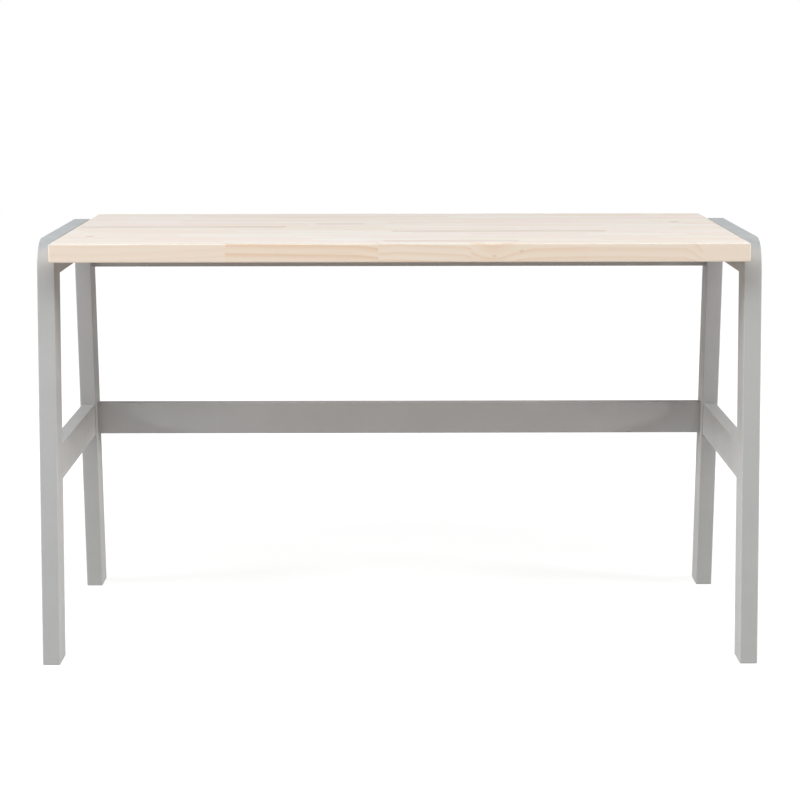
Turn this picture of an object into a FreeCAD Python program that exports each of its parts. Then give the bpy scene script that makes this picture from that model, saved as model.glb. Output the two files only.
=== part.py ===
import FreeCAD, Part
import math
import os
import re
import Sketcher

# Clerk's standing desk. A laminated pine top lies flush between two painted A-frames, which an apron
# and a stretcher join at the rear. X runs along the desk, Y from the user's side to the rear, Z up.
# The origin is on the floor, under the middle of the desk. All sizes are in millimetres.
dimensions = {
    # overall
    "overallWidth": 1829,
    "overallHeight": 1080,
    # desktop panel
    "desktopDepth": 914,
    "desktopThickness": 47,
    "desktopEase": 4,
    "desktopCornerEase": 1.5,
    "desktopGap": 0.5,
    # side frames: spreads are front to back over the legs, at the floor and at full height
    "footSpread": 900,
    "topSpread": 720,
    "frameThickness": 45,
    "memberWidth": 90,
    "topRailHeight": 90,
    "cornerRadius": 80,
    "frameEase": 2.5,
    "sideStretcherHeight": 90,
    "sideStretcherThickness": 38,
    "stretcherCentre": 500,
    # apron and rear stretcher
    "apronHeight": 90,
    "rearStretcherHeight": 90,
    "crossRailThickness": 32,
    # dowels, two to a joint
    "dowelDiameter": 12,
    "dowelLength": 70,
    "dowelPitch": 52,
    "dowelChamfer": 1.5,
    "dowelFit": 0.1,
    "glueSpace": 1,
    # bolts, two to each end of the apron and of the rear stretcher
    "boltDiameter": 6,
    "boltLength": 80,
    "boltPitch": 32,
    "boltPassage": 0.5,
    "boltEndBevel": 0.8,
    "headDiameter": 15,
    "headHeight": 3,
    "headRecess": 4,
    "hexKey": 4,
    "hexDepth": 2,
    # barrel nuts
    "barrelDiameter": 10,
    "barrelLength": 16,
    "barrelSetback": 32,
    "barrelFit": 0.1,
    "threadFit": 0.05,
    # cleats under the ends of the desktop
    "cleatWidth": 32,
    "cleatHeight": 25,
    "cleatLength": 420,
    "cleatEase": 1.5,
    "cleatScrewPitch": 160,
    "slotTravel": 10,
    # pan-head wood screws
    "screwDiameter": 4.5,
    "screwHeadDiameter": 9,
    "screwHeadHeight": 3,
    "screwHeadBevel": 1.2,
    "screwTip": 5,
    "screwPassage": 0.25,
    "railScrewLength": 60,
    "desktopScrewLength": 50,
    "clipScrewLength": 25,
    # steel clips between the apron and the desktop
    "clipSteel": 1.6,
    "clipWidth": 20,
    "clipReach": 22,
    "clipPitch": 420,
    "kerfDrop": 12,
    "kerfWidth": 3,
    "kerfDepth": 10,
}

sides = {"left": -1, "right": 1}
ends = {"front": -1, "back": 1}
pairSteps = (-0.5, 0.5)
cleatScrewSteps = (-1, 0, 1)
clipSteps = (-1.5, -0.5, 0.5, 1.5)

# places and sizes worked out from the driving dimensions
splay = "((footSpread - topSpread) / 2 / overallHeight)"
memberRun = f"(memberWidth * sqrt(1 + {splay} ^ 2))"
deskUnderside = "(overallHeight - desktopThickness)"
railUnderside = "(overallHeight - topRailHeight)"
frameInner = "(overallWidth / 2 - frameThickness)"
dowelDepth = "(dowelLength / 2 + glueSpace)"
dowelBore = "(dowelDiameter + 2 * dowelFit)"
boltBore = "(boltDiameter + 2 * boltPassage)"
headBore = "(headDiameter + 2 * boltPassage)"
barrelBore = "(barrelDiameter + 2 * barrelFit)"
screwPilot = "(screwDiameter + 2 * threadFit)"
screwBore = "(screwDiameter + 2 * screwPassage)"
boltReach = "(boltLength + headRecess - frameThickness)"


def outerAt(height):
    return f"(footSpread / 2 - {splay} * {height})"


def innerAt(height):
    return f"({outerAt(height)} - {memberRun})"


def centreAt(height):
    return f"({outerAt(height)} - {memberRun} / 2)"


apronPlane = centreAt(railUnderside)
apronFace = f"({apronPlane} - crossRailThickness / 2)"
rearStretcherPlane = centreAt("stretcherCentre")
cleatCentre = f"({frameInner} - cleatWidth / 2)"
cleatScrewHeight = f"({deskUnderside} - cleatHeight / 2)"
clipScrewPlane = f"({apronFace} - (clipReach + clipSteel) / 2)"

doc = FreeCAD.newDocument("ClerksStandingDesk")
sheet = doc.addObject("Spreadsheet::Sheet", "Sizes")
for row, (alias, size) in enumerate(dimensions.items(), start=1):
    sheet.set(f"A{row}", alias)
    sheet.set(f"B{row}", str(size))
    sheet.setAlias(f"B{row}", alias)
doc.recompute()
nodes = []


# ---- sketches and features, all bound to the sheet ----

def bound(text):
    return re.sub(r"[A-Za-z]\w*", lambda word: sheetName(word.group()), str(text))


def sheetName(word):
    return f"Sizes.{word}" if word in dimensions else word


def sizeOf(text):
    return float(doc.Sizes.evalExpression(bound(text)))


def startBody(label):
    body = doc.addObject("PartDesign::Body", label)
    body.Label = label
    nodes.append(body)
    return body


def sketchOn(body, role, offset):
    plane = next(feature for feature in body.Origin.OriginFeatures if feature.Role == role)
    sketch = body.newObject("Sketcher::SketchObject", "Sketch")
    sketch.AttachmentSupport = [(plane, "")]
    sketch.MapMode = "FlatFace"
    sketch.setExpression("AttachmentOffset.Base.z", bound(offset))
    return sketch


def tie(sketch, constraint, size):
    sketch.setExpression(f"Constraints[{sketch.addConstraint(constraint)}]", bound(size))


def tiePoint(sketch, shape, point, across, up):
    tie(sketch, Sketcher.Constraint("DistanceX", -1, 1, shape, point, sizeOf(across)), across)
    tie(sketch, Sketcher.Constraint("DistanceY", -1, 1, shape, point, sizeOf(up)), up)


def outline(sketch, corners):
    points = [FreeCAD.Vector(sizeOf(across), sizeOf(up), 0) for across, up in corners]
    for line, start in enumerate(points):
        sketch.addGeometry(Part.LineSegment(start, points[(line + 1) % len(points)]))
    for line in range(len(points)):
        following = (line + 1) % len(points)
        sketch.addConstraint(Sketcher.Constraint("Coincident", line, 2, following, 1))
    for line, (across, up) in enumerate(corners):
        tiePoint(sketch, line, 1, across, up)


def rounds(sketch, centres, diameter):
    for across, up in centres:
        centre = FreeCAD.Vector(sizeOf(across), sizeOf(up), 0)
        circle = sketch.addGeometry(Part.Circle(centre, FreeCAD.Vector(0, 0, 1), sizeOf(diameter) / 2))
        tiePoint(sketch, circle, 3, across, up)
        tie(sketch, Sketcher.Constraint("Diameter", circle, sizeOf(diameter)), diameter)


def slots(sketch, centres, travel, width):
    # each slot is two half rounds joined by two straight sides along the sketch's upward axis
    radius = sizeOf(width) / 2
    for across, up in centres:
        first = sketch.GeometryCount
        high = FreeCAD.Vector(sizeOf(across), sizeOf(f"{up} + {travel} / 2"), 0)
        low = FreeCAD.Vector(sizeOf(across), sizeOf(f"{up} - {travel} / 2"), 0)
        reach = FreeCAD.Vector(radius, 0, 0)
        circles = [Part.Circle(centre, FreeCAD.Vector(0, 0, 1), radius) for centre in (high, low)]
        sketch.addGeometry(Part.ArcOfCircle(circles[0], 0, math.pi))
        sketch.addGeometry(Part.LineSegment(high - reach, low - reach))
        sketch.addGeometry(Part.ArcOfCircle(circles[1], math.pi, 2 * math.pi))
        sketch.addGeometry(Part.LineSegment(low + reach, high + reach))
        for step in range(4):
            following = first + (step + 1) % 4
            sketch.addConstraint(Sketcher.Constraint("Tangent", first + step, 2, following, 1))
        tiePoint(sketch, first, 3, across, f"({up} + {travel} / 2)")
        tiePoint(sketch, first + 2, 3, across, f"({up} - {travel} / 2)")
        tie(sketch, Sketcher.Constraint("Diameter", first, 2 * radius), width)
        sketch.addConstraint(Sketcher.Constraint("Equal", first, first + 2))


def pad(body, sketch, length, symmetric=False):
    feature = body.newObject("PartDesign::Pad", "Pad")
    feature.Profile = sketch
    feature.SideType = "Symmetric" if symmetric else "One side"
    feature.setExpression("Length", bound(length))
    doc.recompute()


def pocket(body, sketch, depth, alongNormal):
    # the pocket follows the sketch plane's normal, or goes against it
    before = body.Shape.Volume
    feature = body.newObject("PartDesign::Pocket", "Pocket")
    feature.Profile = sketch
    feature.Reversed = alongNormal
    feature.setExpression("Length", bound(depth))
    doc.recompute()
    if feature.Shape.isNull() or feature.Shape.Volume >= before:
        raise RuntimeError(f"a pocket cuts nothing: {body.Label} {feature.Name}")


def drill(body, role, offset, centres, diameter, depth, alongNormal):
    sketch = sketchOn(body, role, offset)
    rounds(sketch, centres, diameter)
    pocket(body, sketch, depth, alongNormal)


def ease(body, radius, isEased):
    base = body.Tip
    edges = base.Shape.Edges
    feature = body.newObject("PartDesign::Fillet", "Ease")
    feature.Base = (base, [f"Edge{number}" for number, edge in enumerate(edges, start=1) if isEased(edge)])
    feature.setExpression("Radius", bound(radius))
    doc.recompute()


def isAlong(edge, axis):
    # true where a straight edge lies along one of the part's axes
    return edge.Curve.TypeId == "Part::GeomLine" and abs(edge.Curve.Direction.dot(axis)) > 0.9999


# ---- side frames ----

def frameCentre(side):
    return f"({sides[side]} * (overallWidth - frameThickness) / 2)"


def boltPlaces(plane, height):
    return [(plane, f"({height} + {step} * boltPitch)") for step in pairSteps]


stretcherBolts = boltPlaces(rearStretcherPlane, "stretcherCentre")
apronBolts = boltPlaces(apronPlane, railUnderside)


def drillForBolts(body, side, places):
    # from the frame's outer face: the bolt's passage, and a recess for its head
    outerFace = f"({sides[side]} * overallWidth / 2)"
    drill(body, "YZ_Plane", outerFace, places, boltBore, "frameThickness", side == "left")
    drill(body, "YZ_Plane", outerFace, places, headBore, "headRecess", side == "left")


def topDowelPlaces(side, end):
    return [(frameCentre(side), f"({ends[end]} * {centreAt(railUnderside)} + {step} * dowelPitch)")
            for step in pairSteps]


def stretcherDowelPlaces(side):
    return [(frameCentre(side), f"(stretcherCentre + {step} * dowelPitch)") for step in pairSteps]


def makeLeg(side, end):
    body = startBody(f"{side}_{end}_leg")
    sign = ends[end]
    profile = sketchOn(body, "YZ_Plane", frameCentre(side))
    outline(profile, [
        (f"{sign} * {outerAt(0)}", "0"),
        (f"{sign} * {outerAt(railUnderside)}", railUnderside),
        (f"{sign} * {innerAt(railUnderside)}", railUnderside),
        (f"{sign} * {innerAt(0)}", "0"),
    ])
    pad(body, profile, "frameThickness", symmetric=True)
    ease(body, "frameEase", lambda edge: edge.BoundBox.ZMin < 0.001)
    drill(body, "XY_Plane", railUnderside, topDowelPlaces(side, end), dowelBore, dowelDepth, False)
    boreEnd = f"({sign} * ({innerAt('stretcherCentre')} + {dowelDepth}))"
    boreLength = f"({dowelDepth} + dowelPitch * {splay} + dowelFit)"
    drill(body, "XZ_Plane", f"-{boreEnd}", stretcherDowelPlaces(side), dowelBore, boreLength, end == "back")
    if end == "back":
        drillForBolts(body, side, stretcherBolts + apronBolts[:1])


def makeTopRail(side):
    body = startBody(f"{side}_top_rail")
    profile = sketchOn(body, "YZ_Plane", frameCentre(side))
    outline(profile, [
        (f"-{outerAt(railUnderside)}", railUnderside),
        (outerAt(railUnderside), railUnderside),
        (outerAt("overallHeight"), "overallHeight"),
        (f"-{outerAt('overallHeight')}", "overallHeight"),
    ])
    pad(body, profile, "frameThickness", symmetric=True)
    top = sizeOf("overallHeight")
    underside = sizeOf(railUnderside)
    across = FreeCAD.Vector(1, 0, 0)
    ease(body, "min(cornerRadius; 0.95 * topRailHeight)",
         lambda edge: isAlong(edge, across) and edge.BoundBox.ZMin > top - 1)
    ease(body, "frameEase",
         lambda edge: not isAlong(edge, across) and edge.BoundBox.ZMax > underside + 1)
    for end in ends:
        drill(body, "XY_Plane", railUnderside, topDowelPlaces(side, end), dowelBore, dowelDepth, True)
    drillForBolts(body, side, apronBolts[1:])
    innerFace = f"({sides[side]} * {frameInner})"
    pilotDepth = "(railScrewLength - cleatWidth + glueSpace)"
    drill(body, "YZ_Plane", innerFace, railScrewPlaces(), screwPilot, pilotDepth, side == "right")


def makeSideStretcher(side):
    body = startBody(f"{side}_side_stretcher")
    low = "(stretcherCentre - sideStretcherHeight / 2)"
    high = "(stretcherCentre + sideStretcherHeight / 2)"
    profile = sketchOn(body, "YZ_Plane", frameCentre(side))
    outline(profile, [
        (f"-{innerAt(low)}", low),
        (innerAt(low), low),
        (innerAt(high), high),
        (f"-{innerAt(high)}", high),
    ])
    pad(body, profile, "sideStretcherThickness", symmetric=True)
    ease(body, "frameEase", lambda edge: isAlong(edge, FreeCAD.Vector(0, 1, 0)))
    boreLength = f"({dowelDepth} + dowelPitch * {splay} + dowelFit)"
    for end, sign in ends.items():
        boreEnd = f"({sign} * ({innerAt('stretcherCentre')} - {dowelDepth}))"
        drill(body, "XZ_Plane", f"-{boreEnd}", stretcherDowelPlaces(side), dowelBore, boreLength, end == "front")


# ---- apron and rear stretcher ----

def makeCrossRail(label, corners, plane, places):
    body = startBody(label)
    profile = sketchOn(body, "YZ_Plane", "0")
    outline(profile, corners)
    pad(body, profile, f"2 * {frameInner}", symmetric=True)
    for side, sign in sides.items():
        railEnd = f"({sign} * {frameInner})"
        drill(body, "YZ_Plane", railEnd, places, boltBore, f"({boltReach} + glueSpace)", side == "left")
    rearFace = f"-({plane} + crossRailThickness / 2)"
    nutPlaces = [(barrelAt(side), height) for side in sides for _, height in places]
    nutDepth = "((crossRailThickness + barrelLength) / 2)"
    drill(body, "XZ_Plane", rearFace, nutPlaces, barrelBore, nutDepth, True)
    return body


def barrelAt(side):
    return f"({sides[side]} * ({frameInner} - barrelSetback))"


def makeRearStretcher():
    near = f"({rearStretcherPlane} - crossRailThickness / 2)"
    far = f"({rearStretcherPlane} + crossRailThickness / 2)"
    low = "(stretcherCentre - rearStretcherHeight / 2)"
    high = "(stretcherCentre + rearStretcherHeight / 2)"
    corners = [(near, low), (far, low), (far, high), (near, high)]
    body = makeCrossRail("rear_stretcher", corners, rearStretcherPlane, stretcherBolts)
    ease(body, "frameEase", isLongArris)


def isLongArris(edge):
    longest = sizeOf(f"2 * {frameInner}")
    return isAlong(edge, FreeCAD.Vector(1, 0, 0)) and edge.Length > 0.99 * longest


def makeApron():
    # a kerf along the front face takes the tongues of the clips
    far = f"({apronPlane} + crossRailThickness / 2)"
    low = f"({deskUnderside} - apronHeight)"
    kerfTop = f"({deskUnderside} - kerfDrop)"
    kerfBottom = f"({kerfTop} - kerfWidth)"
    kerfEnd = f"({apronFace} + kerfDepth)"
    corners = [
        (apronFace, low),
        (far, low),
        (far, deskUnderside),
        (apronFace, deskUnderside),
        (apronFace, kerfTop),
        (kerfEnd, kerfTop),
        (kerfEnd, kerfBottom),
        (apronFace, kerfBottom),
    ]
    body = makeCrossRail("rear_apron", corners, apronPlane, apronBolts)
    lowest = sizeOf(low)
    ease(body, "frameEase", lambda edge: isLongArris(edge) and edge.BoundBox.ZMax < lowest + 1)


# ---- desktop and what holds it ----

def railScrewPlaces():
    return [(f"({step} * cleatScrewPitch)", cleatScrewHeight) for step in cleatScrewSteps]


def desktopScrewPlaces(side):
    # half way between the screws that go into the rail
    return [(f"({sides[side]} * {cleatCentre})", f"({step} * cleatScrewPitch)") for step in pairSteps]


def clipScrewPlaces():
    return [(f"({step} * clipPitch)", clipScrewPlane) for step in clipSteps]


def rectangle(halfAcross, halfUp):
    return [(f"-{halfAcross}", f"-{halfUp}"), (halfAcross, f"-{halfUp}"),
            (halfAcross, halfUp), (f"-{halfAcross}", halfUp)]


def makeDesktop():
    body = startBody("desktop")
    profile = sketchOn(body, "XY_Plane", deskUnderside)
    outline(profile, rectangle(f"({frameInner} - desktopGap)", "(desktopDepth / 2)"))
    pad(body, profile, "desktopThickness")
    upward = FreeCAD.Vector(0, 0, 1)
    ease(body, "desktopEase", lambda edge: not isAlong(edge, upward))
    ease(body, "desktopCornerEase", lambda edge: isAlong(edge, upward))
    places = desktopScrewPlaces("left") + desktopScrewPlaces("right")
    cleatPilot = "(desktopScrewLength - cleatHeight + glueSpace)"
    drill(body, "XY_Plane", deskUnderside, places, screwPilot, cleatPilot, True)
    clipPilot = "(clipScrewLength - clipSteel + glueSpace)"
    drill(body, "XY_Plane", deskUnderside, clipScrewPlaces(), screwPilot, clipPilot, True)


def makeCleat(side):
    body = startBody(f"{side}_desktop_cleat")
    underside = f"({deskUnderside} - cleatHeight)"
    near = f"({sides[side]} * ({frameInner} - cleatWidth))"
    far = f"({sides[side]} * {frameInner})"
    profile = sketchOn(body, "XY_Plane", underside)
    outline(profile, [(near, "-cleatLength / 2"), (far, "-cleatLength / 2"),
                      (far, "cleatLength / 2"), (near, "cleatLength / 2")])
    pad(body, profile, "cleatHeight")
    lowest = sizeOf(underside)
    ease(body, "cleatEase", lambda edge: edge.BoundBox.ZMax < lowest + 0.001)
    drill(body, "YZ_Plane", near, railScrewPlaces(), screwBore, "cleatWidth", side == "right")
    slotSketch = sketchOn(body, "XY_Plane", underside)
    slots(slotSketch, desktopScrewPlaces(side), "slotTravel", screwBore)
    pocket(body, slotSketch, "cleatHeight", True)


# ---- fasteners: one half outline is turned for each copy, and the copies make one group ----

upright = FreeCAD.Rotation()
upsideDown = FreeCAD.Rotation(FreeCAD.Vector(1, 0, 0), 180)
ontoRearward = FreeCAD.Rotation(FreeCAD.Vector(1, 0, 0), -90)
ontoFrontward = FreeCAD.Rotation(FreeCAD.Vector(1, 0, 0), 90)
headTo = {
    "left": FreeCAD.Rotation(FreeCAD.Vector(0, 1, 0), -90),
    "right": FreeCAD.Rotation(FreeCAD.Vector(0, 1, 0), 90),
}


def freeSketch(name, corners, turn):
    sketch = doc.addObject("Sketcher::SketchObject", name)
    outline(sketch, corners)
    sketch.Placement = FreeCAD.Placement(FreeCAD.Vector(), turn)
    return sketch


def halfOutline(name, corners):
    # stands upright beside the Z axis, which it is turned about
    return freeSketch(name, corners, FreeCAD.Rotation(FreeCAD.Vector(1, 0, 0), 90))


def turned(profile):
    piece = doc.addObject("Part::Revolution", profile.Name + "Turned")
    piece.Source = profile
    piece.Axis = FreeCAD.Vector(0, 0, 1)
    piece.Angle = 360
    piece.Solid = True
    return piece


def place(piece, across, along, up, turn):
    piece.Placement = FreeCAD.Placement(FreeCAD.Vector(), turn)
    for axis, size in zip("xyz", (across, along, up)):
        piece.setExpression(f"Placement.Base.{axis}", bound(size))
    return piece


def group(label, pieces):
    together = doc.addObject("Part::Compound", label)
    together.Label = label
    together.Links = pieces
    nodes.append(together)


def cut(base, tool):
    result = doc.addObject("Part::Cut", base.Name + "Cut")
    result.Base = base
    result.Tool = tool
    return result


dowelProfile = halfOutline("DowelProfile", [
    ("0", "0"),
    ("dowelDiameter / 2 - dowelChamfer", "0"),
    ("dowelDiameter / 2", "dowelChamfer"),
    ("dowelDiameter / 2", "dowelLength - dowelChamfer"),
    ("dowelDiameter / 2 - dowelChamfer", "dowelLength"),
    ("0", "dowelLength"),
])

boltProfile = halfOutline("BoltProfile", [
    ("0", "-boltLength"),
    ("boltDiameter / 2 - boltEndBevel", "-boltLength"),
    ("boltDiameter / 2", "boltEndBevel - boltLength"),
    ("boltDiameter / 2", "0"),
    ("headDiameter / 2", "0"),
    ("headDiameter / 2", "headHeight - boltEndBevel"),
    ("headDiameter / 2 - boltEndBevel", "headHeight"),
    ("0", "headHeight"),
])


def screwProfile(name, length):
    return halfOutline(name, [
        ("0", f"-{length}"),
        ("screwDiameter / 2", f"screwTip - {length}"),
        ("screwDiameter / 2", "0"),
        ("screwHeadDiameter / 2", "0"),
        ("screwHeadDiameter / 2", "screwHeadHeight - screwHeadBevel"),
        ("screwHeadDiameter / 2 - screwHeadBevel", "screwHeadHeight"),
        ("0", "screwHeadHeight"),
    ])


def makeDowels(side):
    half = "dowelLength / 2"
    rails = []
    stretchers = []
    for end, sign in ends.items():
        for across, along in topDowelPlaces(side, end):
            dowel = turned(dowelProfile)
            rails.append(place(dowel, across, along, f"{railUnderside} - {half}", upright))
        joint = f"{sign} * {innerAt('stretcherCentre')}"
        for across, height in stretcherDowelPlaces(side):
            dowel = turned(dowelProfile)
            stretchers.append(place(dowel, across, f"{joint} - {half}", height, ontoRearward))
    group(f"{side}_top_rail_dowels", rails)
    group(f"{side}_stretcher_dowels", stretchers)


def makeBolt(side, along, height):
    socket = doc.addObject("Part::Prism", "HexSocket")
    socket.Polygon = 6
    socket.setExpression("Circumradius", bound("hexKey / sqrt(3)"))
    socket.setExpression("Height", bound("hexDepth"))
    place(socket, "0", "0", "headHeight - hexDepth", upright)
    bolt = cut(turned(boltProfile), socket)
    seat = f"{sides[side]} * (overallWidth / 2 - headRecess)"
    return place(bolt, seat, along, height, headTo[side])


def makeBarrelNut(side, along, height):
    barrel = doc.addObject("Part::Cylinder", "Barrel")
    barrel.setExpression("Radius", bound("barrelDiameter / 2"))
    barrel.setExpression("Height", bound("barrelLength"))
    thread = doc.addObject("Part::Cylinder", "BarrelThread")
    thread.setExpression("Radius", bound("boltDiameter / 2 + threadFit"))
    thread.setExpression("Height", bound("barrelDiameter"))
    place(thread, "-barrelDiameter / 2", "0", "barrelLength / 2", headTo["right"])
    nut = cut(barrel, thread)
    return place(nut, barrelAt(side), f"{along} + barrelLength / 2", height, ontoFrontward)


def makeRailFasteners(name, places):
    spots = [(side, along, height) for side in sides for along, height in places]
    group(f"{name}_bolts", [makeBolt(*spot) for spot in spots])
    group(f"{name}_barrel_nuts", [makeBarrelNut(*spot) for spot in spots])


def makeCleatScrews():
    railProfile = screwProfile("RailScrewProfile", "railScrewLength")
    desktopProfile = screwProfile("DesktopScrewProfile", "desktopScrewLength")
    railScrews = []
    desktopScrews = []
    for side, sign in sides.items():
        other = "right" if side == "left" else "left"
        headSeat = f"{sign} * ({frameInner} - cleatWidth)"
        for along, height in railScrewPlaces():
            railScrews.append(place(turned(railProfile), headSeat, along, height, headTo[other]))
        underside = f"{deskUnderside} - cleatHeight"
        for across, along in desktopScrewPlaces(side):
            screw = turned(desktopProfile)
            desktopScrews.append(place(screw, across, along, underside, upsideDown))
    group("cleat_to_rail_screws", railScrews)
    group("cleat_to_desktop_screws", desktopScrews)


def makeClips():
    tongueTop = f"({deskUnderside} - kerfDrop)"
    tongueEnd = f"({apronFace} + kerfDepth - glueSpace)"
    webFront = f"({apronFace} - clipSteel)"
    tabEnd = f"({apronFace} - clipReach)"
    profile = freeSketch("ClipProfile", [
        (tongueEnd, tongueTop),
        (tongueEnd, f"{tongueTop} - clipSteel"),
        (webFront, f"{tongueTop} - clipSteel"),
        (webFront, f"{deskUnderside} - clipSteel"),
        (tabEnd, f"{deskUnderside} - clipSteel"),
        (tabEnd, deskUnderside),
        (apronFace, deskUnderside),
        (apronFace, tongueTop),
    ], FreeCAD.Rotation(FreeCAD.Vector(1, 1, 1), 120))
    screw = screwProfile("ClipScrewProfile", "clipScrewLength")
    clips = []
    screws = []
    for across, along in clipScrewPlaces():
        strip = doc.addObject("Part::Extrusion", "ClipStrip")
        strip.Base = profile
        strip.DirMode = "Normal"
        strip.Solid = True
        strip.Symmetric = True
        strip.setExpression("LengthFwd", bound("clipWidth"))
        hole = doc.addObject("Part::Cylinder", "ClipHole")
        hole.setExpression("Radius", bound(f"{screwBore} / 2"))
        hole.setExpression("Height", bound("clipSteel"))
        place(hole, "0", along, f"{deskUnderside} - clipSteel", upright)
        clips.append(place(cut(strip, hole), across, "0", "0", upright))
        seat = f"{deskUnderside} - clipSteel"
        screws.append(place(turned(screw), across, along, seat, upsideDown))
    group("apron_clips", clips)
    group("apron_clip_screws", screws)


# ---- the desk ----

for side in sides:
    for end in ends:
        makeLeg(side, end)
    makeTopRail(side)
    makeSideStretcher(side)
    makeDowels(side)
    makeCleat(side)
makeRearStretcher()
makeApron()
makeDesktop()
makeRailFasteners("rear_stretcher", stretcherBolts)
makeRailFasteners("rear_apron", apronBolts)
makeCleatScrews()
makeClips()
doc.recompute()


def checkModel():
    for item in doc.Objects:
        if "Invalid" in item.State or "Error" in item.State:
            raise RuntimeError(f"{item.Label} failed: {item.State}")
    for node in nodes:
        if node.Shape.isNull() or not node.Shape.isValid() or not node.Shape.Solids:
            raise RuntimeError(f"{node.Label} has no valid solid")


checkModel()
os.makedirs("parts", exist_ok=True)
for node in nodes:
    node.Shape.exportStep(f"parts/{node.Label}.step")
    box = node.Shape.BoundBox
    print(f"{node.Label}: {len(node.Shape.Solids)} solids, {node.Shape.Volume / 1000:.1f} cm3, "
          f"x {box.XMin:.1f} to {box.XMax:.1f}, y {box.YMin:.1f} to {box.YMax:.1f}, "
          f"z {box.ZMin:.1f} to {box.ZMax:.1f}")
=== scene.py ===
import bpy
import math
from mathutils import Matrix, Vector

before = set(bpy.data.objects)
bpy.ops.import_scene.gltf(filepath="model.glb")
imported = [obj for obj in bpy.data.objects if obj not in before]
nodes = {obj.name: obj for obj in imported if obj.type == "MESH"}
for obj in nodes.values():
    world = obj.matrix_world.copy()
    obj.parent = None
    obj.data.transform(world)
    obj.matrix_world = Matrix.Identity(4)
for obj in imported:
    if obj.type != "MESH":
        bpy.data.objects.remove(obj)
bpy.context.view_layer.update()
print("frame loaded:", len(nodes), "nodes")


# short ways to add and link shader nodes
def addNode(tree, kind, inputs=None, **settings):
    node = tree.nodes.new(kind)
    for setting, value in settings.items():
        setattr(node, setting, value)
    for socket, value in (inputs or {}).items():
        if isinstance(value, bpy.types.NodeSocket):
            tree.links.new(value, node.inputs[socket])
        else:
            node.inputs[socket].default_value = value
    return node


def calc(tree, operation, first, second=0.0, third=0.0):
    return addNode(tree, "ShaderNodeMath", {0: first, 1: second, 2: third}, operation=operation).outputs[0]


def product(tree, first, *factors):
    for factor in factors:
        first = calc(tree, "MULTIPLY", first, factor)
    return first


def oneMinus(tree, value):
    return calc(tree, "SUBTRACT", 1.0, value)


def between(tree, share, limits):
    low, high = limits
    return calc(tree, "MULTIPLY_ADD", share, high - low, low)


def remap(tree, value, low, high, newLow=0.0, newHigh=1.0):
    limits = {"Value": value, "From Min": low, "From Max": high, "To Min": newLow, "To Max": newHigh}
    return addNode(tree, "ShaderNodeMapRange", limits, interpolation_type="SMOOTHSTEP").outputs[0]


def fade(tree, value, levels, most=1.0):
    return remap(tree, value, *levels, 0.0, most)


def choose(tree, share, first, second, kind="FLOAT"):
    # the sockets of a Mix node for this kind of value: its two inputs and its output
    firstInput, secondInput, output = {"FLOAT": (2, 3, 0), "VECTOR": (4, 5, 1)}[kind]
    return addNode(tree, "ShaderNodeMix", {0: share, firstInput: first, secondInput: second},
                   data_type=kind).outputs[output]


def stretch(tree, vector, factors):
    return addNode(tree, "ShaderNodeVectorMath", {0: vector, 1: factors}, operation="MULTIPLY").outputs[0]


def lengthOf(tree, vector):
    return addNode(tree, "ShaderNodeVectorMath", {0: vector}, operation="LENGTH").outputs["Value"]


def joinXYZ(tree, x, y, z):
    return addNode(tree, "ShaderNodeCombineXYZ", {0: x, 1: y, 2: z}).outputs[0]


def splitXYZ(tree, vector):
    return addNode(tree, "ShaderNodeSeparateXYZ", {0: vector}).outputs


def faceNormal(tree):
    return splitXYZ(tree, addNode(tree, "ShaderNodeTexCoord").outputs["Normal"])


def cloud(tree, vector, scale, detail=2.0, roughness=0.5):
    inputs = {"Vector": vector, "Scale": scale, "Detail": detail, "Roughness": roughness}
    return addNode(tree, "ShaderNodeTexNoise", inputs).outputs["Fac"]


def grainCloud(tree, coordinates, layer):
    return cloud(tree, stretch(tree, coordinates, layer["stretch"]), *layer["noise"])


def mixColour(tree, share, first, second, blend="MIX"):
    colours = [colour if isinstance(colour, bpy.types.NodeSocket) else (*colour, 1.0)
               for colour in (first, second)]
    return addNode(tree, "ShaderNodeMix", {0: share, 6: colours[0], 7: colours[1]},
                   data_type="RGBA", blend_type=blend).outputs[2]


def newMaterial(name):
    material = bpy.data.materials.new(name)
    material.use_nodes = True
    tree = material.node_tree
    shader = tree.nodes["Principled BSDF"]
    coordinates = tree.nodes.new("ShaderNodeTexCoord").outputs["Object"]
    return material, tree, shader, coordinates


def sheen(tree, noise, roughness):
    return remap(tree, noise, *roughness["levels"], *roughness["range"])


def linkSurface(tree, shader, colour, roughness, relief, bump):
    tree.links.new(colour, shader.inputs["Base Color"])
    tree.links.new(roughness, shader.inputs["Roughness"])
    inputs = {"Height": relief, "Strength": bump["strength"], "Distance": bump["distance"]}
    tree.links.new(addNode(tree, "ShaderNodeBump", inputs).outputs[0], shader.inputs["Normal"])


def dress(names, material):
    for name in names:
        for slot in nodes[name].material_slots:
            slot.material = material


# camera: angles in degrees, lens and sensor in millimetres
viewpoint = {
    "place": (-0.0135, -5.7635, 1.5833),
    "pitch": 9.582,
    "yaw": 0.150,
    "roll": -0.083,
    "lens": 96.75,
    "sensor": 36.0,
}
cameraData = bpy.data.cameras.new("Camera")
cameraData.lens = viewpoint["lens"]
cameraData.sensor_width = viewpoint["sensor"]
camera = bpy.data.objects.new("Camera", cameraData)
bpy.context.collection.objects.link(camera)
camera.matrix_world = (Matrix.Translation(viewpoint["place"])
                       @ Matrix.Rotation(math.radians(-viewpoint["yaw"]), 4, "Z")
                       @ Matrix.Rotation(math.radians(90 - viewpoint["pitch"]), 4, "X")
                       @ Matrix.Rotation(math.radians(viewpoint["roll"]), 4, "Z"))
bpy.context.scene.camera = camera
bpy.context.scene.view_settings.view_transform = "Standard"
print("camera placed")


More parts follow.
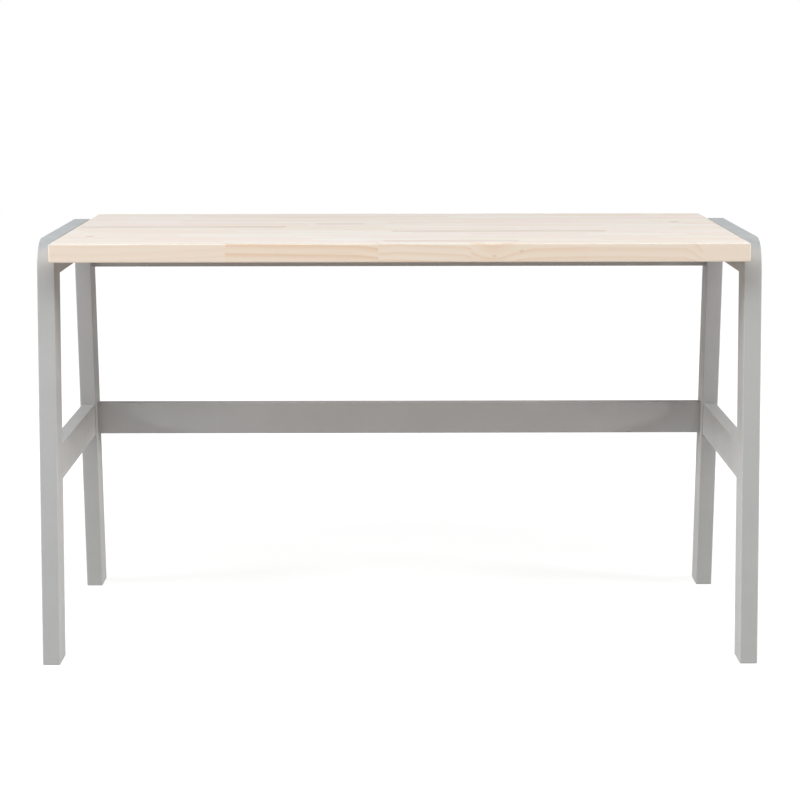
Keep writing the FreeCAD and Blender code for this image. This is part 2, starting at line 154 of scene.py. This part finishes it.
# studio: a pale floor, a white surround and soft boxes
def mirrorOrCamera(tree):
    # rays that see the surround itself: straight from the camera, off a glossy surface or through a clear one
    path = addNode(tree, "ShaderNodeLightPath").outputs
    straight = calc(tree, "MAXIMUM", path["Is Camera Ray"], path["Is Glossy Ray"])
    return calc(tree, "MAXIMUM", straight, path["Is Transmission Ray"])


surround = {"colour": (1.0, 1.0, 1.0, 1.0), "lightStrength": 0.02, "seenStrength": 1.0}
world = bpy.data.worlds.new("Surround")
bpy.context.scene.world = world
world.use_nodes = True
worldTree = world.node_tree
dim = addNode(worldTree, "ShaderNodeBackground",
              {"Color": surround["colour"], "Strength": surround["lightStrength"]})
white = addNode(worldTree, "ShaderNodeBackground",
                {"Color": surround["colour"], "Strength": surround["seenStrength"]})
chosen = addNode(worldTree, "ShaderNodeMixShader",
                 {0: mirrorOrCamera(worldTree), 1: dim.outputs[0], 2: white.outputs[0]})
worldTree.links.new(chosen.outputs[0], worldTree.nodes["World Output"].inputs["Surface"])

softBoxes = {
    "leftFront": {"at": (-6.0, -0.9, 2.4), "aim": (0.0, -0.6, 1.6), "size": (1.8, 0.6), "power": 232.0},
    "leftRear": {"at": (-6.0, 0.9, 2.4), "aim": (0.0, 0.7, 1.6), "size": (1.8, 0.6), "power": 98.0},
    "rightFront": {"at": (6.0, -0.9, 2.4), "aim": (0.0, -0.6, 1.6), "size": (1.8, 0.6), "power": 292.0},
    "rightRear": {"at": (6.0, 0.9, 2.4), "aim": (0.0, 0.7, 1.6), "size": (1.8, 0.6), "power": 54.0},
    "leftFill": {"at": (-4.0, -2.5, 2.5), "aim": (0.0, -2.5, 2.5), "size": (3.0, 3.0), "power": 54.0,
                 "colour": (0.94, 1.0, 1.06)},
    "overheadMiddle": {"at": (0.0, -3.0, 5.0), "aim": (0.0, -3.0, 0.0), "size": (6.0, 2.0), "power": 112.0,
                       "colour": (1.00, 1.0, 1.04)},
    "overheadFront": {"at": (0.0, -5.0, 5.0), "aim": (0.0, -5.0, 0.0), "size": (8.0, 3.0), "power": 277.0,
                      "colour": (0.99, 1.0, 0.97)},
}
for name, settings in softBoxes.items():
    lampData = bpy.data.lights.new(name, "AREA")
    lampData.shape = "RECTANGLE"
    lampData.size, lampData.size_y = settings["size"]
    lampData.energy = settings["power"]
    lampData.color = settings.get("colour", (1.0, 1.0, 1.0))
    lamp = bpy.data.objects.new(name, lampData)
    bpy.context.collection.objects.link(lamp)
    direction = Vector(settings["aim"]) - Vector(settings["at"])
    turn = direction.to_track_quat("-Z", "Y").to_matrix().to_4x4()
    lamp.matrix_world = Matrix.Translation(settings["at"]) @ turn

studioFloor = {
    "reach": 14.0,
    "drop": 0.0005,
    "colour": (0.50, 0.50, 0.50),
    "speckle": (0.49, 0.49, 0.49),
    "speckleNoise": (3.0, 3.0),
    "roughness": 0.9,
    "specular": 0.1,
    "shadow": (0.25, 0.25, 0.25, 1.0),
    "glow": (1.0, 1.0, 1.0, 1.0),
    "glowDistances": (0.9, 3.0),
    "glowStrengths": (0.84, 1.0),
}


def makeFloorPaint(settings):
    # seen directly or in a mirror the floor glows and takes a faint shadow, and for all other rays it is grey
    material, tree, shader, coordinates = newMaterial("studioFloorPaint")
    shader.inputs["Roughness"].default_value = settings["roughness"]
    shader.inputs["Specular IOR Level"].default_value = settings["specular"]
    speckles = cloud(tree, coordinates, *settings["speckleNoise"])
    grey = mixColour(tree, speckles, settings["colour"], settings["speckle"])
    tree.links.new(grey, shader.inputs["Base Color"])
    level = remap(tree, lengthOf(tree, coordinates), *settings["glowDistances"], *settings["glowStrengths"])
    glow = addNode(tree, "ShaderNodeEmission", {"Color": settings["glow"], "Strength": level})
    faint = addNode(tree, "ShaderNodeBsdfDiffuse", {"Color": settings["shadow"]})
    lifted = addNode(tree, "ShaderNodeAddShader", {0: glow.outputs[0], 1: faint.outputs[0]})
    either = addNode(tree, "ShaderNodeMixShader", {0: mirrorOrCamera(tree), 1: shader.outputs[0],
                                                   2: lifted.outputs[0]})
    tree.links.new(either.outputs[0], tree.nodes["Material Output"].inputs["Surface"])
    return material


bpy.ops.mesh.primitive_plane_add(size=2 * studioFloor["reach"], location=(0.0, 0.0, -studioFloor["drop"]))
floor = bpy.context.object
floor.name = "studioFloor"
floor.data.materials.append(makeFloorPaint(studioFloor))
print("studio ready")


# desktop: a panel glued up from finger-jointed pine staves, whitewashed and oiled; lengths are in metres, a
# noise is its scale, detail and roughness, and levels are where something starts to show and where it is full
panelWood = {
    "depth": 0.914,
    "middleHeight": 1.0565,
    "staveCount": 20,
    "staveInset": 0.0001,  # in staves
    "staveShift": 7.31,  # in blocks, so that the joints of neighbouring staves aren't in line
    "blockLength": 0.36,
    "blockScatter": 0.8,
    "fingerPitch": 0.004,
    "fingerDepth": 0.010,
    "palePine": (0.99, 0.905, 0.795),
    "pinkPine": (0.99, 0.85, 0.74),
    "honeyPine": (0.97, 0.80, 0.62),
    "rawPine": (0.80, 0.58, 0.36),
    "lateRing": (0.84, 0.56, 0.35),
    "heartwood": (0.74, 0.56, 0.44),
    "heartRing": (0.52, 0.32, 0.20),
    "fibre": (0.94, 0.88, 0.80),
    "knot": (0.40, 0.22, 0.12),
    "glue": (0.62, 0.48, 0.37),
    "rosyCast": (1.0, 0.962, 0.984),
    "greenCast": (0.984, 0.995, 0.974),
    "castLevels": (0.25, 0.75),
    # painted shade for the top: darker and cooler than the edges
    "paintedTopShade": (0.845, 0.885, 0.925),
    "endGrain": (0.86, 0.79, 0.70),
    "faces": {"end": (0.5, 0.9), "top": (0.15, 0.70), "underside": (-0.70, -0.95), "rawShare": 0.8},
    "seam": {"levels": (0.0006, 0.0), "share": 0.45},
    "joint": {"levels": (0.0006, 0.0001), "share": 0.5},
    "specular": 0.5,
    "roughness": {"levels": (0.2, 0.8), "range": (0.31, 0.43)},
    "bump": {"strength": 0.30, "distance": 0.0004, "fibres": 0.5, "rings": -0.35, "glue": -0.8},
    # figure that runs along the grain
    "fibres": {"stretch": (16.0, 1300.0, 1300.0), "noise": (1.0, 2.0, 0.6), "levels": (0.30, 0.75),
               "share": 0.20},
    "streaks": {"stretch": (2.5, 90.0, 90.0), "noise": (1.0, 3.0, 0.55), "levels": (0.48, 0.80),
                "share": 0.40, "frontShare": 0.20},
    "blush": {"stretch": (4.0, 14.0, 14.0), "noise": (1.0, 2.0, 0.5), "levels": (0.40, 0.75), "share": 0.60},
    "ducts": {"stretch": (60.0, 1700.0, 1700.0), "noise": (1.0, 1.0), "levels": (0.70, 0.76), "share": 0.35},
    # growth rings: the darkness over one year, with a sharp end where the next one starts, and their waves
    "ringStops": ((0.0, 0.30), (0.10, 0.0), (0.40, 0.05), (0.72, 0.55), (0.90, 1.0), (1.0, 0.30)),
    "waves": {"along": 2.6, "across": 9.0, "shift": 40.0, "noise": (1.0, 2.0, 0.45), "reach": 0.030,
              "frontReach": 0.006},
    # drawn for each block behind the front stave: how pink, honey coloured and strongly ringed it is, how far
    # its heart lies in front of the stave's middle and above the panel's middle, how far its rings drift for
    # each metre along it, and how wide they are
    "draws": {"nextThree": 17.3, "pinkLevels": (0.2, 0.8), "honeyLevels": (0.5, 1.0), "rings": (0.12, 0.87),
              "heartFront": (-0.07, 0.07), "heartAbove": (-0.05, 0.08), "drift": (-0.035, 0.035),
              "spacing": (0.003, 0.0075)},
    # the same values, listed for the blocks of the front stave from left to right
    "frontBlocks": (
        {"from": -1.0, "pink": 0.5, "honey": 0.1, "rings": 0.20,
         "heart": (0.050, -0.030), "drift": 0.010, "spacing": 0.016},
        {"from": -0.773, "pink": 0.2, "honey": 0.2, "rings": 0.22,
         "heart": (0.030, -0.060), "drift": -0.040, "spacing": 0.018},
        {"from": -0.427, "pink": 0.2, "honey": 0.55, "rings": 0.90,
         "heart": (0.016, -0.0759), "drift": 0.0185, "spacing": 0.023},
        {"from": -0.048, "pink": 0.2, "honey": 0.2, "rings": 0.55,
         "heart": (0.020, -0.0715), "drift": 0.042, "spacing": 0.019},
        {"from": 0.182, "pink": 0.3, "honey": 0.4, "rings": 0.55,
         "heart": (0.020, -0.0628), "drift": -0.020, "spacing": 0.0225},
        {"from": 0.471, "pink": 0.3, "honey": 0.2, "rings": 0.45,
         "heart": (0.020, -0.048), "drift": 0.008, "spacing": 0.022},
        {"from": 0.756, "pink": 0.3, "honey": 0.0, "rings": 0.05,
         "heart": (0.060, 0.020), "drift": -0.012, "spacing": 0.014},
    ),
    # places on the front edge where the rings bend, round a knot or towards one that was cut away
    "frontBends": (
        {"at": (-0.050, 0.004), "reach": 0.060, "rise": 0.005, "core": 0.0, "warm": 0.3},
        {"at": (0.235, -0.008), "reach": 0.085, "rise": 0.022, "core": 0.0045, "warm": 0.6},
        {"at": (0.302, 0.004), "reach": 0.035, "rise": 0.005, "core": 0.0045, "warm": 0.5},
        {"at": (0.800, 0.000), "reach": 0.100, "rise": 0.055, "core": 0.0, "warm": 0.3},
    ),
    "frontKnot": {"heightScale": 1.5, "edgeInCores": 2, "darkness": 0.35},
    # blocks of heartwood and the larger knots in the top
    "heartBlocks": (
        {"stave": 10, "from": -0.853, "to": -0.300, "share": 0.75},
        {"stave": 12, "from": -0.224, "to": -0.088, "share": 0.50},
        {"stave": 7, "from": -0.014, "to": 0.549, "share": 0.75},
        {"stave": 1, "from": -0.034, "to": 0.304, "share": 0.55},
    ),
    "heartStreaks": {"levels": (0.30, 0.65), "range": (0.55, 1.15), "ringShare": 0.40},
    "topKnots": (
        {"at": (-0.795, -0.250), "core": 0.009},
        {"at": (0.759, 0.160), "core": 0.012},
    ),
    "topKnot": {"alongScale": 0.7, "reachInCores": 4, "riseInCores": 2.5, "middleInCores": 0.7,
                "darkness": 0.75},
    # small knots, one to a cell in a share of the cells, anywhere but in the front stave
    "smallKnots": {"cellsPerMetre": 6.0, "stretch": (1.0, 1.0, 0.3), "share": 0.11, "reach": 0.045,
                   "rise": 0.02, "levels": (0.0075, 0.0035), "darkness": 0.85},
}


def layOutStaves(tree, y, settings):
    # the front and rear faces lie on the outer bounds, so they are kept just inside the end staves
    staveWidth = settings["depth"] / settings["staveCount"]
    across = calc(tree, "MULTIPLY_ADD", y, 1 / staveWidth, settings["staveCount"] / 2)
    across = calc(tree, "MAXIMUM", across, settings["staveInset"])
    across = calc(tree, "MINIMUM", across, settings["staveCount"] - settings["staveInset"])
    fromMiddle = calc(tree, "SUBTRACT", calc(tree, "FRACT", across), 0.5)
    return calc(tree, "FLOOR", across), product(tree, fromMiddle, staveWidth), staveWidth


def layOutBlocks(tree, stave, fingerX, settings):
    # a key for each block of a stave, and the distance to its nearer end
    blocksAlong = calc(tree, "DIVIDE", fingerX, settings["blockLength"])
    shifted = calc(tree, "MULTIPLY_ADD", stave, settings["staveShift"], blocksAlong)
    cells = {"W": shifted, "Scale": 1.0, "Randomness": settings["blockScatter"]}
    blocks = addNode(tree, "ShaderNodeTexVoronoi", cells, voronoi_dimensions="1D")
    ends = addNode(tree, "ShaderNodeTexVoronoi", cells, voronoi_dimensions="1D", feature="DISTANCE_TO_EDGE")
    blockKey = splitXYZ(tree, blocks.outputs["Color"])[0]
    return blockKey, product(tree, ends.outputs["Distance"], settings["blockLength"])


def layOutFront(tree, fingerX, frontBlocks):
    # steps from one front block's values to the next where its finger joint lies
    looks, hearts, spacing, key, gap = (0.0, 0.0, 0.0), (0.0, 0.0, 0.0), 0.01, 0.5, 1.0
    for block in frontBlocks:
        past = calc(tree, "SUBTRACT", fingerX, block["from"])
        isPast = calc(tree, "GREATER_THAN", past, 0.0)
        looks = choose(tree, isPast, looks, (block["pink"], block["honey"], block["rings"]), "VECTOR")
        hearts = choose(tree, isPast, hearts, (*block["heart"], block["drift"]), "VECTOR")
        spacing = choose(tree, isPast, spacing, block["spacing"])
        key = calc(tree, "ADD", key, isPast)
        gap = calc(tree, "MINIMUM", gap, calc(tree, "ABSOLUTE", past))
    return looks, hearts, spacing, key, gap


def drawThree(tree, key):
    noise = addNode(tree, "ShaderNodeTexWhiteNoise", {"W": key}, noise_dimensions="1D")
    return splitXYZ(tree, noise.outputs["Color"])


def addSmallKnots(tree, coordinates, isFront, settings):
    vector = stretch(tree, coordinates, settings["stretch"])
    cells = addNode(tree, "ShaderNodeTexVoronoi", {"Vector": vector, "Scale": settings["cellsPerMetre"]})
    isKept = calc(tree, "LESS_THAN", splitXYZ(tree, cells.outputs["Color"])[0], settings["share"])
    isKept = product(tree, isKept, oneMinus(tree, isFront))
    away = calc(tree, "DIVIDE", cells.outputs["Distance"], settings["cellsPerMetre"])
    bend = product(tree, isKept, fade(tree, away, (settings["reach"], 0.0), settings["rise"]))
    return bend, product(tree, isKept, fade(tree, away, settings["levels"], settings["darkness"]))


def addTopKnots(tree, x, y, bend, knotShow, settings):
    shape = settings["topKnot"]
    for knot in settings["topKnots"]:
        core = knot["core"]
        aside = product(tree, calc(tree, "SUBTRACT", x, knot["at"][0]), shape["alongScale"])
        away = lengthOf(tree, joinXYZ(tree, aside, calc(tree, "SUBTRACT", y, knot["at"][1]), 0.0))
        rise = fade(tree, away, (shape["reachInCores"] * core, 0.0), shape["riseInCores"] * core)
        shown = fade(tree, away, (core, shape["middleInCores"] * core), shape["darkness"])
        bend = calc(tree, "ADD", bend, rise)
        knotShow = calc(tree, "MAXIMUM", knotShow, shown)
    return bend, knotShow


def addFrontBends(tree, x, height, isFront, bend, knotShow, settings):
    shape = settings["frontKnot"]
    warmShow = 0.0
    for knot in settings["frontBends"]:
        above = product(tree, calc(tree, "SUBTRACT", height, knot["at"][1]), shape["heightScale"])
        away = lengthOf(tree, joinXYZ(tree, calc(tree, "SUBTRACT", x, knot["at"][0]), 0.0, above))
        reach = (knot["reach"], 0.0)
        bend = calc(tree, "ADD", bend, product(tree, isFront, fade(tree, away, reach, knot["rise"])))
        warmth = product(tree, isFront, fade(tree, away, reach, knot["warm"]))
        warmShow = calc(tree, "MAXIMUM", warmShow, warmth)
        if knot["core"] > 0:
            edge = (shape["edgeInCores"] * knot["core"], 0.0)
            shown = product(tree, isFront, fade(tree, away, edge, shape["darkness"]))
            knotShow = calc(tree, "MAXIMUM", knotShow, shown)
    return bend, knotShow, warmShow


def growRings(tree, coordinates, acrossStave, height, hearts, spacing, shiftDraw, isFront, bend, settings):
    # rings round a heart that lies off to one side of each block, with waves, and bent where a knot grew
    x, y, z = splitXYZ(tree, coordinates)
    waves = settings["waves"]
    heartFront, heartAbove, drift = splitXYZ(tree, hearts)
    ringY = calc(tree, "ADD", acrossStave, heartFront)
    ringZ = calc(tree, "SUBTRACT", height, heartAbove)
    radius = calc(tree, "SQRT", calc(tree, "ADD", product(tree, ringY, ringY), product(tree, ringZ, ringZ)))
    radius = calc(tree, "ADD", radius, product(tree, x, drift))
    waveX = calc(tree, "MULTIPLY_ADD", x, waves["along"], product(tree, shiftDraw, waves["shift"]))
    waveVector = joinXYZ(tree, waveX, product(tree, y, waves["across"]), product(tree, z, waves["across"]))
    wave = calc(tree, "SUBTRACT", cloud(tree, waveVector, *waves["noise"]), 0.5)
    waveReach = choose(tree, isFront, waves["reach"], waves["frontReach"])
    radius = calc(tree, "ADD", radius, calc(tree, "MULTIPLY_ADD", wave, waveReach, bend))
    ramp = tree.nodes.new("ShaderNodeValToRGB")
    while len(ramp.color_ramp.elements) < len(settings["ringStops"]):
        ramp.color_ramp.elements.new(0.5)
    for element, (position, level) in zip(ramp.color_ramp.elements, settings["ringStops"]):
        element.position = position
        element.color = (level, level, level, 1.0)
    tree.links.new(calc(tree, "FRACT", calc(tree, "DIVIDE", radius, spacing)), ramp.inputs[0])
    return ramp.outputs["Color"]


def showHeartwood(tree, stave, fingerX, streaks, settings):
    shown = 0.0
    for block in settings["heartBlocks"]:
        isStave = calc(tree, "COMPARE", stave, block["stave"], 0.5)
        isInside = product(tree, calc(tree, "GREATER_THAN", fingerX, block["from"]),
                           calc(tree, "LESS_THAN", fingerX, block["to"]))
        shown = calc(tree, "MAXIMUM", shown, product(tree, isStave, isInside, block["share"]))
    unevenness = settings["heartStreaks"]
    return product(tree, shown, remap(tree, streaks, *unevenness["levels"], *unevenness["range"]))


def finishFaces(tree, pine, settings):
    # the end grain is darker, the top gets a painted shade, darker and cooler than the edges, and the
    # whitewash stops at the underside
    normal = faceNormal(tree)
    faces = settings["faces"]
    endShow = fade(tree, calc(tree, "ABSOLUTE", normal["X"]), faces["end"])
    pine = mixColour(tree, endShow, pine, settings["endGrain"], "MULTIPLY")
    # painted shade: faces that look up are darkened and cooled
    pine = mixColour(tree, fade(tree, normal["Z"], faces["top"]), pine, settings["paintedTopShade"], "MULTIPLY")
    rawShow = fade(tree, normal["Z"], faces["underside"], faces["rawShare"])
    return mixColour(tree, rawShow, pine, settings["rawPine"], "MULTIPLY")


def makePanelWood(settings):
    material, tree, shader, coordinates = newMaterial("whitewashedPine")
    x, y, z = splitXYZ(tree, coordinates)
    height = calc(tree, "SUBTRACT", z, settings["middleHeight"])
    stave, acrossStave, staveWidth = layOutStaves(tree, y, settings)
    isFront = calc(tree, "LESS_THAN", stave, 0.5)

    # fingers zigzag across the face, so that a joint is a row of points there and a straight line at the edge
    zigzag = calc(tree, "PINGPONG", y, settings["fingerPitch"] / 2)
    fingerX = calc(tree, "MULTIPLY_ADD", zigzag, 2 * settings["fingerDepth"] / settings["fingerPitch"], x)
    backKey, backGap = layOutBlocks(tree, stave, fingerX, settings)
    frontLooks, frontHearts, frontSpacing, frontKey, frontGap = layOutFront(
        tree, fingerX, settings["frontBlocks"])
    blockKey = choose(tree, isFront, backKey, frontKey)
    jointGap = choose(tree, isFront, backGap, frontGap)

    # the look of each block: drawn behind the front stave, listed in it
    draws = settings["draws"]
    shiftDraw, pinkDraw, honeyDraw = drawThree(tree, blockKey)
    driftDraw, spacingDraw, ringDraw = drawThree(tree, calc(tree, "ADD", blockKey, draws["nextThree"]))
    backLooks = joinXYZ(tree, fade(tree, pinkDraw, draws["pinkLevels"]),
                        fade(tree, honeyDraw, draws["honeyLevels"]),
                        between(tree, product(tree, ringDraw, ringDraw), draws["rings"]))
    backHearts = joinXYZ(tree, between(tree, pinkDraw, draws["heartFront"]),
                         between(tree, honeyDraw, draws["heartAbove"]),
                         between(tree, driftDraw, draws["drift"]))
    backSpacing = between(tree, spacingDraw, draws["spacing"])
    pink, honey, ringStrength = splitXYZ(tree, choose(tree, isFront, backLooks, frontLooks, "VECTOR"))
    hearts = choose(tree, isFront, backHearts, frontHearts, "VECTOR")
    spacing = choose(tree, isFront, backSpacing, frontSpacing)

    bend, knotShow = addSmallKnots(tree, coordinates, isFront, settings["smallKnots"])
    bend, knotShow = addTopKnots(tree, x, y, bend, knotShow, settings)
    bend, knotShow, warmShow = addFrontBends(tree, x, height, isFront, bend, knotShow, settings)
    rings = growRings(tree, coordinates, acrossStave, height, hearts, spacing, shiftDraw, isFront, bend,
                      settings)
    fibres, streaks, blush, ducts = [grainCloud(tree, coordinates, settings[layer])
                                     for layer in ("fibres", "streaks", "blush", "ducts")]
    streakShare = choose(tree, isFront, settings["streaks"]["share"], settings["streaks"]["frontShare"])
    heartShow = showHeartwood(tree, stave, fingerX, streaks, settings)
    seam = calc(tree, "SUBTRACT", staveWidth / 2, calc(tree, "ABSOLUTE", acrossStave))
    glueShow = calc(tree, "MAXIMUM", fade(tree, seam, settings["seam"]["levels"], settings["seam"]["share"]),
                    fade(tree, jointGap, settings["joint"]["levels"], settings["joint"]["share"]))

    ductShow = product(tree, fade(tree, ducts, settings["ducts"]["levels"]), settings["ducts"]["share"])
    pine = mixColour(tree, pink, settings["palePine"], settings["pinkPine"])
    for share, colour in (
        (calc(tree, "MAXIMUM", honey, warmShow), "honeyPine"),
        (fade(tree, blush, settings["blush"]["levels"], settings["blush"]["share"]), "pinkPine"),
        (product(tree, fade(tree, streaks, settings["streaks"]["levels"]), streakShare), "lateRing"),
        (heartShow, "heartwood"),
        (product(tree, rings, ringStrength), "lateRing"),
        (product(tree, heartShow, rings, settings["heartStreaks"]["ringShare"]), "heartRing"),
        (fade(tree, fibres, settings["fibres"]["levels"], settings["fibres"]["share"]), "fibre"),
        (ductShow, "lateRing"),
        (knotShow, "knot"),
        (glueShow, "glue"),
    ):
        pine = mixColour(tree, share, pine, settings[colour])
    cast = mixColour(tree, fade(tree, spacingDraw, settings["castLevels"]), settings["rosyCast"],
                     settings["greenCast"])
    pine = mixColour(tree, oneMinus(tree, isFront), pine, cast, "MULTIPLY")
    pine = finishFaces(tree, pine, settings)

    bump = settings["bump"]
    relief = calc(tree, "MULTIPLY_ADD", fibres, bump["fibres"], product(tree, rings, bump["rings"]))
    relief = calc(tree, "MULTIPLY_ADD", glueShow, bump["glue"], relief)
    linkSurface(tree, shader, pine, sheen(tree, streaks, settings["roughness"]), relief, bump)
    shader.inputs["Specular IOR Level"].default_value = settings["specular"]
    return material


dress(["desktop"], makePanelWood(panelWood))
print("desktop wood done")


# frames: satin grey paint over planed pine, whose grain just shows through along each member
framePaint = {
    "colour": (0.452, 0.451, 0.444),
    "shade": (0.430, 0.429, 0.422),
    "mottle": {"noise": (9.0, 4.0, 0.6), "levels": (0.3, 0.7), "share": 0.7},
    "grain": {"noise": (1.0, 3.0, 0.6), "levels": (0.45, 0.8), "share": 0.35},
    "peelNoise": (1100.0, 1.0),
    # painted highlight: the lighter grey laid over the eased edges
    "edge": (0.52, 0.52, 0.51),
    "edgeHighlightShare": 0.55,
    # painted cool sheen: the tint laid on faces that look up, standing in for a bluish reflection
    "paintedCoolSheen": (0.965, 1.0, 1.035),
    "paintedCoolSheenLevels": (0.3, 0.9),
    "specular": 0.40,
    "roughness": {"levels": (0.25, 0.75), "range": (0.55, 0.65)},
    "bump": {"strength": 0.22, "distance": 0.0004, "grain": 0.7, "peel": 0.18},
}
grainRuns = {
    "alongX": {"stretch": (3.0, 260.0, 260.0), "nodes": ["rear_stretcher", "rear_apron"]},
    "alongY": {"stretch": (260.0, 3.0, 260.0),
               "nodes": ["left_top_rail", "right_top_rail", "left_side_stretcher", "right_side_stretcher"]},
    "alongZ": {"stretch": (260.0, 260.0, 3.0),
               "nodes": ["left_front_leg", "left_back_leg", "right_front_leg", "right_back_leg"]},
}


def makeFramePaint(name, grainStretch, settings):
    material, tree, shader, coordinates = newMaterial(f"greyPaint_{name}")
    grain = grainCloud(tree, coordinates, {"stretch": grainStretch, **settings["grain"]})
    mottle = cloud(tree, coordinates, *settings["mottle"]["noise"])
    peel = cloud(tree, coordinates, *settings["peelNoise"])
    colour = settings["colour"]
    for layer, noise in (("mottle", mottle), ("grain", grain)):
        share = fade(tree, noise, settings[layer]["levels"], settings[layer]["share"])
        colour = mixColour(tree, share, colour, settings["shade"])
    # the eased edges, where the face turns, get a painted highlight, and the faces that look up a painted
    # cool sheen
    normal = faceNormal(tree)
    turned = product(tree, normal["X"], normal["X"])
    edgeHighlightMask = product(tree, turned, oneMinus(tree, turned), 4.0)
    colour = mixColour(tree, product(tree, edgeHighlightMask, settings["edgeHighlightShare"]), colour, settings["edge"])
    # painted reflection: faces that look up are tinted cooler
    paintedSheenShow = fade(tree, normal["Z"], settings["paintedCoolSheenLevels"])
    colour = mixColour(tree, paintedSheenShow, colour, settings["paintedCoolSheen"], "MULTIPLY")
    bump = settings["bump"]
    relief = calc(tree, "MULTIPLY_ADD", grain, bump["grain"], product(tree, peel, bump["peel"]))
    linkSurface(tree, shader, colour, sheen(tree, mottle, settings["roughness"]), relief, bump)
    shader.inputs["Specular IOR Level"].default_value = settings["specular"]
    return material


for name, run in grainRuns.items():
    dress(run["nodes"], makeFramePaint(name, run["stretch"], framePaint))
print("frame paint done")


# cleats and dowels: bare wood
bareWoods = {
    "cleatPine": {"pale": (0.74, 0.56, 0.36), "dark": (0.60, 0.41, 0.23), "stretch": (240.0, 4.0, 240.0),
                  "nodes": ["left_desktop_cleat", "right_desktop_cleat"]},
    "dowelBeech": {"pale": (0.68, 0.50, 0.34), "dark": (0.55, 0.37, 0.22), "stretch": (300.0, 300.0, 300.0),
                   "nodes": ["left_top_rail_dowels", "right_top_rail_dowels", "left_stretcher_dowels",
                             "right_stretcher_dowels"]},
}
bareSurface = {
    "grain": {"noise": (1.0, 3.0, 0.6), "levels": (0.5, 0.8), "share": 0.5},
    "band": {"noise": (1.0, 2.0), "levels": (0.3, 0.7), "widthInGrains": 4},
    "roughness": {"levels": (0.2, 0.8), "range": (0.55, 0.72)},
    "bump": {"strength": 0.3, "distance": 0.0004},
}


def makeBareWood(name, settings, surface):
    material, tree, shader, coordinates = newMaterial(name)
    grainLayer, bandLayer = surface["grain"], surface["band"]
    bandStretch = [factor / bandLayer["widthInGrains"] for factor in settings["stretch"]]
    grain = grainCloud(tree, coordinates, {"stretch": settings["stretch"], **grainLayer})
    band = grainCloud(tree, coordinates, {"stretch": bandStretch, **bandLayer})
    colour = mixColour(tree, fade(tree, band, bandLayer["levels"]), settings["pale"], settings["dark"])
    grainShow = fade(tree, grain, grainLayer["levels"], grainLayer["share"])
    colour = mixColour(tree, grainShow, colour, settings["dark"])
    linkSurface(tree, shader, colour, sheen(tree, grain, surface["roughness"]), grain, surface["bump"])
    return material


for name, settings in bareWoods.items():
    dress(settings["nodes"], makeBareWood(name, settings, bareSurface))


# fasteners: nickel-plated bolts, the rest zinc-plated
platings = {
    "nickelPlate": {"bright": (0.66, 0.65, 0.62), "dull": (0.50, 0.49, 0.46),
                    "roughness": {"levels": (0.3, 0.7), "range": (0.22, 0.38)},
                    "nodes": ["rear_stretcher_bolts", "rear_apron_bolts"]},
    "zincPlate": {"bright": (0.70, 0.71, 0.72), "dull": (0.52, 0.53, 0.54),
                  "roughness": {"levels": (0.3, 0.7), "range": (0.32, 0.52)},
                  "nodes": ["rear_stretcher_barrel_nuts", "rear_apron_barrel_nuts", "cleat_to_rail_screws",
                            "cleat_to_desktop_screws", "apron_clips", "apron_clip_screws"]},
}
platingBloom = {"noise": (420.0, 4.0, 0.6), "levels": (0.35, 0.7), "strength": 0.15, "distance": 0.0002}


def makePlating(name, settings, bloomSettings):
    material, tree, shader, coordinates = newMaterial(name)
    shader.inputs["Metallic"].default_value = 1.0
    bloom = cloud(tree, coordinates, *bloomSettings["noise"])
    colour = mixColour(tree, fade(tree, bloom, bloomSettings["levels"]), settings["bright"], settings["dull"])
    linkSurface(tree, shader, colour, sheen(tree, bloom, settings["roughness"]), bloom, bloomSettings)
    return material


for name, settings in platings.items():
    dress(settings["nodes"], makePlating(name, settings, platingBloom))
print("bare wood and fasteners done")
